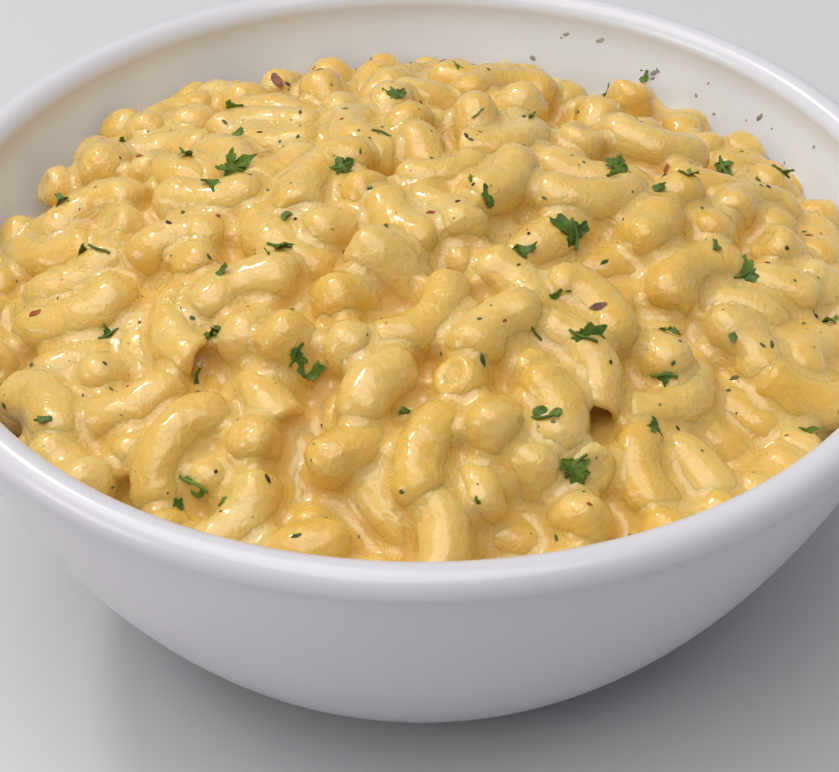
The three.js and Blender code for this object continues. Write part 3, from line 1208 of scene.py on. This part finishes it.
@dataclass
class Parsley:
    """Chopped parsley: a few lobed bits of leaf and some stems, over the heap.

    Leaves and stems are modelled one millimetre long, and each bit is a copy at its own size.
    """

    rim_corners: int = 44
    rim_inset: float = 0.16
    tooth: float = 0.15
    lopsided: float = 0.28
    spread: float = 1.25
    narrow: float = 0.78
    leaf_thickness: float = 0.035
    stem_radius: float = 0.055
    stem_joints: int = 5
    stem_from: float = 5.3
    stem_length: float = 0.8
    stem_turn: float = 150.0
    small: int = 46
    small_sizes: Range = (1.8, 5.0)
    stem_share: float = 0.18
    leans: tuple[float, float, float] = (14, 6, 20)
    heap_radius: float = 80.0
    lift: float = 0.16
    seed: int = 21

    def leaf(self, number: int, kind: Leaf) -> bpy.types.Object:
        """Model one lobed bit of leaf, lying flat and a little curled.

        Args:
            number: Which leaf this is; each has its own unevenness.
            kind: Its outline.

        Returns:
            A thin closed piece, about one millimetre across.
        """
        half = 0.5
        deselect_all()
        bpy.ops.mesh.primitive_circle_add(vertices=self.rim_corners, radius=half * MM, fill_type="NGON",
                                          location=(0, 0, 0))
        piece = start_piece(f"leaf_{number}")
        edit_all()
        bpy.ops.mesh.inset(thickness=self.rim_inset * MM)
        bpy.ops.mesh.inset(thickness=self.rim_inset * MM)
        bpy.ops.object.mode_set(mode="OBJECT")
        corners = corners_of(piece)
        x, y = corners[:, 0], corners[:, 1]
        away = np.hypot(x, y) / half
        around = np.arctan2(y, x)
        lobe = 0.5 + 0.5 * np.cos(kind.lobes * (around - 0.4 * math.sin(number)))
        shape = 1.0 - kind.waist * (1 - lobe ** 0.7) + self.tooth * np.cos(kind.teeth * around + number)
        reach = 1.0 - self.lopsided + self.lopsided * np.cos(around - 0.2 * number)
        scale = 1.0 + (shape * reach * self.spread - 1.0) * away.clip(0, 1)
        x *= scale
        y *= scale * (self.narrow + 0.1 * math.sin(number * 2.1))
        corners[:, 2] = away * (0.10 * np.sin(x * 7 + number) + 0.16 * np.cos(y * 6 + number * 2))
        write_corners(piece, corners)
        modify(piece, "SOLIDIFY", thickness=self.leaf_thickness * MM, offset=0.0)
        smooth(piece, 60.0)
        return piece

    def stem(self) -> bpy.types.Object:
        """Model one short bit of stem, a little bent."""
        length = 1.0
        deselect_all()
        bpy.ops.mesh.primitive_circle_add(vertices=7, radius=self.stem_radius * MM, fill_type="NGON",
                                          location=(-length / 2 * MM, 0, 0), rotation=(0, math.pi / 2, 0))
        piece = start_piece("stem")
        bpy.ops.object.transform_apply(location=True, rotation=True)
        edit_all()
        for step in range(self.stem_joints):
            move = Vector((length / self.stem_joints, 0.05 * math.sin(step * 1.3), 0.03 * math.cos(step)))
            bpy.ops.mesh.extrude_region_move(TRANSFORM_OT_translate={"value": move * MM})
        face_out()
        smooth(piece, 50.0)
        return piece

    def build(self, surface: Surface, bowl: Bowl) -> bpy.types.Object:
        """Scatter the parsley.

        Args:
            surface: The heap's surface, to lay it on.
            bowl: The bowl, which has one bit of leaf on its wall.

        Returns:
            The finished piece.
        """
        rng = np.random.default_rng(self.seed)
        leaves = [self.leaf(number, kind) for number, kind in enumerate(LEAVES)]
        stem = self.stem()
        leaf_lean, stem_lean, loose_lean = self.leans
        bits = []
        for sprig in SPRIGS:
            spot = surface.drop(sprig.x, sprig.y)
            if spot is None:
                continue
            turn = math.radians(sprig.turn)
            bits.append(self._lay(leaves[sprig.leaf], spot, sprig.size, turn, rng, leaf_lean))
            if sprig.size > self.stem_from:
                turn = math.radians(sprig.turn + self.stem_turn)
                bits.append(self._lay(stem, spot, sprig.size * self.stem_length, turn, rng, stem_lean))
        for number in range(self.small):
            away = self.heap_radius * math.sqrt((number + 0.6) / self.small)
            around = number * GOLDEN_ANGLE * 1.7 + rng.uniform(-0.4, 0.4)
            spot = surface.drop(away * math.cos(around), away * math.sin(around))
            if spot is None:
                continue
            kind = stem if rng.random() < self.stem_share else leaves[int(rng.integers(1, 5))]
            size = float(rng.uniform(*self.small_sizes))
            bits.append(self._lay(kind, spot, size, rng.uniform(0, 6.3), rng, loose_lean))
        stuck = bowl.wall_spot(around=57, depth=8.5)
        bits.append(self._lay(leaves[4], stuck, size=3.4, turn=0.4, rng=rng, lean=5))
        discard(leaves + [stem])
        piece = join(bits, "parsley")
        piece.data.materials.append(LeafFinish().material())
        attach(piece, ROOT)
        return piece

    def _lay(self, kind: bpy.types.Object, spot: Spot, size: float, turn: float,
             rng: np.random.Generator, lean: float) -> bpy.types.Object:
        """Lay one bit on the surface, turned and leaning a little.

        Args:
            kind: The bit to copy.
            spot: The place and normal of the surface there, in metres.
            size: Its size in millimetres.
            turn: Its turn about the normal, in radians.
            rng: Where the lean is drawn from.
            lean: The most it leans, in degrees.

        Returns:
            The copy, in place.
        """
        place, normal = spot
        spin = Matrix.Rotation(turn, 4, "Z")
        tip = Matrix.Rotation(math.radians(rng.uniform(-lean, lean)), 4, "X")
        matrix = Matrix.Translation(place + normal * self.lift * MM) @ stand_on(normal) @ spin @ tip
        return copy_piece(kind, matrix @ Matrix.Diagonal((size, size, size, 1)))


@dataclass
class Grains:
    """Ground spice: small rough grains of one kind, scattered over the heap or laid on given spots.

    Sizes are in millimetres, and a larger `small_bias` draws more of them near the smallest. The
    flatness is a grain's thickness as a share of its width, and it is stretched one way by a share
    drawn from `stretch`.
    """

    name: str
    finish: GrainFinish
    count: int
    sizes: Range
    flatness: float
    seed: int
    heap_radius: float = 82.0
    small_bias: float = 2.2
    stretch: Range = (1.1, 2.6)
    lift: float = 0.12
    kinds: int = 4

    def grain(self, number: int) -> bpy.types.Object:
        """Model one rough grain, one millimetre across."""
        deselect_all()
        bpy.ops.mesh.primitive_ico_sphere_add(subdivisions=1, radius=0.5 * MM, location=(0, 0, 0))
        piece = start_piece(f"{self.name}_{number}")
        corners = corners_of(piece)
        for i in range(len(corners)):
            corners[i] *= self._chip(number, i)
        write_corners(piece, corners)
        return piece

    @staticmethod
    def _chip(number: int, corner: int) -> float:
        """How far one corner of a grain stands out: a fixed scramble, from 0.7 to 1.2."""
        wave = math.sin(number * 12.99 + corner * 78.23) * 43758.55
        return 0.70 + 0.50 * (wave - math.floor(wave))

    def build(self, surface: Surface, spots: Sequence[Spot] = ()) -> bpy.types.Object:
        """Scatter the grains.

        Args:
            surface: The heap's surface, to lay them on.
            spots: More places, each with one grain.

        Returns:
            The finished piece.
        """
        rng = np.random.default_rng(self.seed)
        masters = [self.grain(number) for number in range(self.kinds)]
        places = list(spots)
        while len(places) < self.count + len(spots):
            away = self.heap_radius * math.sqrt(rng.random())
            around = rng.uniform(0, FULL_TURN)
            spot = surface.drop(away * math.cos(around), away * math.sin(around))
            if spot is not None:
                places.append(spot)
        smallest, largest = self.sizes
        grains = []
        for place, normal in places:
            size = smallest + (largest - smallest) * rng.random() ** self.small_bias
            spin = Matrix.Rotation(rng.uniform(0, FULL_TURN), 4, "Z")
            scale = Matrix.Diagonal((size * rng.uniform(*self.stretch), size, size * self.flatness, 1))
            master = masters[int(rng.integers(len(masters)))]
            lifted = Matrix.Translation(place + normal * size * self.flatness * self.lift * MM)
            grains.append(copy_piece(master, lifted @ stand_on(normal) @ spin @ scale))
        discard(masters)
        piece = join(grains, self.name)
        piece.data.materials.append(self.finish.material())
        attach(piece, ROOT)
        return piece


PEPPER = GrainFinish("ground_pepper", (0.035, 0.022, 0.012, 1), (0.10, 0.055, 0.025, 1))
STRAY_HERB = GrainFinish("stray_herb", (0.30, 0.30, 0.25, 1), (0.45, 0.43, 0.38, 1))
DRIED_HERB = GrainFinish("dried_herb", (0.05, 0.085, 0.02, 1), (0.13, 0.15, 0.05, 1))
RED_FLAKE = GrainFinish("red_flake", (0.30, 0.055, 0.02, 1), (0.42, 0.13, 0.04, 1))
BROWN_FLAKE = GrainFinish("brown_flake", (0.12, 0.07, 0.045, 1), (0.30, 0.12, 0.06, 1))
BROWN_FLAKE_PLACES = ((17, -76), (30, -31), (-30, 62))


def stray_spots(bowl: Bowl, count: int = 15, seed: int = 17) -> list[Spot]:
    """Places of the stray specks high on the bowl's inside wall, at the back right."""
    rng = np.random.default_rng(seed)
    return [bowl.wall_spot(rng.uniform(26, 78), rng.uniform(3.0, 11.0)) for _ in range(count)]


# ------------------------------------------------------------------ the studio

@dataclass(frozen=True)
class Panel:
    """One soft light panel that faces the bowl: place and width in metres, power in watts."""

    name: str
    place: tuple[float, float, float]
    width: float
    power: float
    colour: tuple[float, float, float]
    depth_share: float = 0.7
    aim_height: float = 0.06

    def hang(self) -> None:
        """Hang the panel."""
        light = bpy.data.lights.new(self.name, "AREA")
        light.shape = "RECTANGLE"
        light.size = self.width
        light.size_y = self.width * self.depth_share
        light.energy = self.power
        light.color = self.colour
        panel = bpy.data.objects.new(self.name, light)
        panel.location = self.place
        aim = Vector((0, 0, self.aim_height)) - Vector(self.place)
        panel.rotation_euler = aim.to_track_quat("-Z", "Y").to_euler()
        bpy.context.collection.objects.link(panel)


PANELS = (
    Panel("key_light", (-0.75, 0.80, 1.35), 0.22, 6.0, (1.0, 0.99, 0.97)),
    Panel("ceiling_light", (-0.3, -0.2, 1.75), 2.2, 28.6, (0.995, 0.985, 0.99)),
    Panel("left_light", (-1.3, -0.55, 0.55), 0.7, 3.8, (1.0, 0.99, 0.98)),
)


@dataclass
class Studio:
    """A pale floor, a small key light at the back left, soft fills, a dim room and the camera."""

    floor_side: float = 6.0
    floor_gap: float = 0.2
    room: Colour = (0.93, 0.94, 1.0, 1.0)
    room_strength: float = 0.20
    mirrored_strength: float = 0.50
    lens: float = 94.4
    sensor: float = 36.0
    distance_back: float = 331.7
    height_over_lip: float = 231.2
    aim: Point = (-0.4, -42.9)

    def floor(self) -> None:
        """Lay a plain pale floor, just under the bowl's foot."""
        deselect_all()
        bpy.ops.mesh.primitive_plane_add(size=self.floor_side, location=(0, 0, -self.floor_gap * MM))
        floor = start_piece("pale_floor")
        material, sketch, shader, place = new_material("pale_floor")
        colour = sketch.mix(sketch.noise(place, 3.0), (0.60, 0.59, 0.60, 1), (0.65, 0.64, 0.645, 1))
        sketch.feed(shader, {"Base Color": colour, "Roughness": 0.7})
        floor.data.materials.append(material)

    def lights(self) -> None:
        """Hang the panels in a dim room, which looks brighter in what shines."""
        for panel in PANELS:
            panel.hang()
        world = bpy.data.worlds.new("room")
        world.use_nodes = True
        room = Sketch(world.node_tree)
        mirrored = room.add("LightPath").outputs["Is Glossy Ray"]
        strength = room.band(mirrored, 0.0, 1.0, self.room_strength, self.mirrored_strength)
        room.feed(world.node_tree.nodes["Background"], {"Color": self.room, "Strength": strength})
        bpy.context.scene.world = world

    def camera(self, lip_height: float) -> None:
        """Place the camera, which looks down into the bowl from the front."""
        data = bpy.data.cameras.new("camera")
        data.lens = self.lens
        data.sensor_width = self.sensor
        data.clip_start = 0.01
        camera = bpy.data.objects.new("camera", data)
        place = Vector((0, -self.distance_back, lip_height + self.height_over_lip)) * MM
        aim = Vector((*self.aim, lip_height)) * MM
        camera.location = place
        camera.rotation_euler = (aim - place).to_track_quat("-Z", "Y").to_euler()
        bpy.context.collection.objects.link(camera)
        bpy.context.scene.camera = camera
        bpy.context.scene.view_settings.view_transform = "Standard"
        bpy.context.scene.view_settings.look = "None"


def report(piece: bpy.types.Object) -> bpy.types.Object:
    """Log a piece's name and how many triangles it has, and hand the piece on."""
    LOG.info("%s: %d triangles", piece.name, triangles_of(piece))
    return piece


def main() -> None:
    """Build the bowl, the heap, what lies on it and the studio, in order."""
    wrinkle_group()
    speck_group()
    bowl = Bowl()
    mound = Mound(bowl)
    report(bowl.build())
    elbows = report(Macaroni(mound, Settling(mound)).build())
    sauce = report(CheeseSauce(mound).build(elbows))
    surface = Surface((elbows, sauce))
    report(Parsley().build(surface, bowl))
    pepper = Grains("pepper_grains", PEPPER, count=60, sizes=(0.30, 0.9), flatness=0.6, seed=31)
    report(pepper.build(surface))
    stray = Grains("wall_specks", STRAY_HERB, count=0, sizes=(0.5, 1.3), flatness=0.3, seed=34)
    report(stray.build(surface, stray_spots(bowl)))
    herbs = Grains("herb_specks", DRIED_HERB, count=190, sizes=(0.30, 1.05), flatness=0.35, seed=32)
    report(herbs.build(surface))
    red = Grains("red_flakes", RED_FLAKE, count=16, sizes=(0.6, 1.6), flatness=0.35, seed=33)
    report(red.build(surface))
    brown = Grains("brown_flakes", BROWN_FLAKE, count=0, sizes=(1.9, 2.5), flatness=0.14, seed=35)
    flakes = [spot for spot in (surface.drop(x, y) for x, y in BROWN_FLAKE_PLACES) if spot]
    report(brown.build(surface, flakes))
    studio = Studio()
    studio.floor()
    studio.lights()
    studio.camera(bowl.lip_height)


if __name__ == "__main__":
    logging.basicConfig(level=logging.INFO, format="%(message)s")
    main()
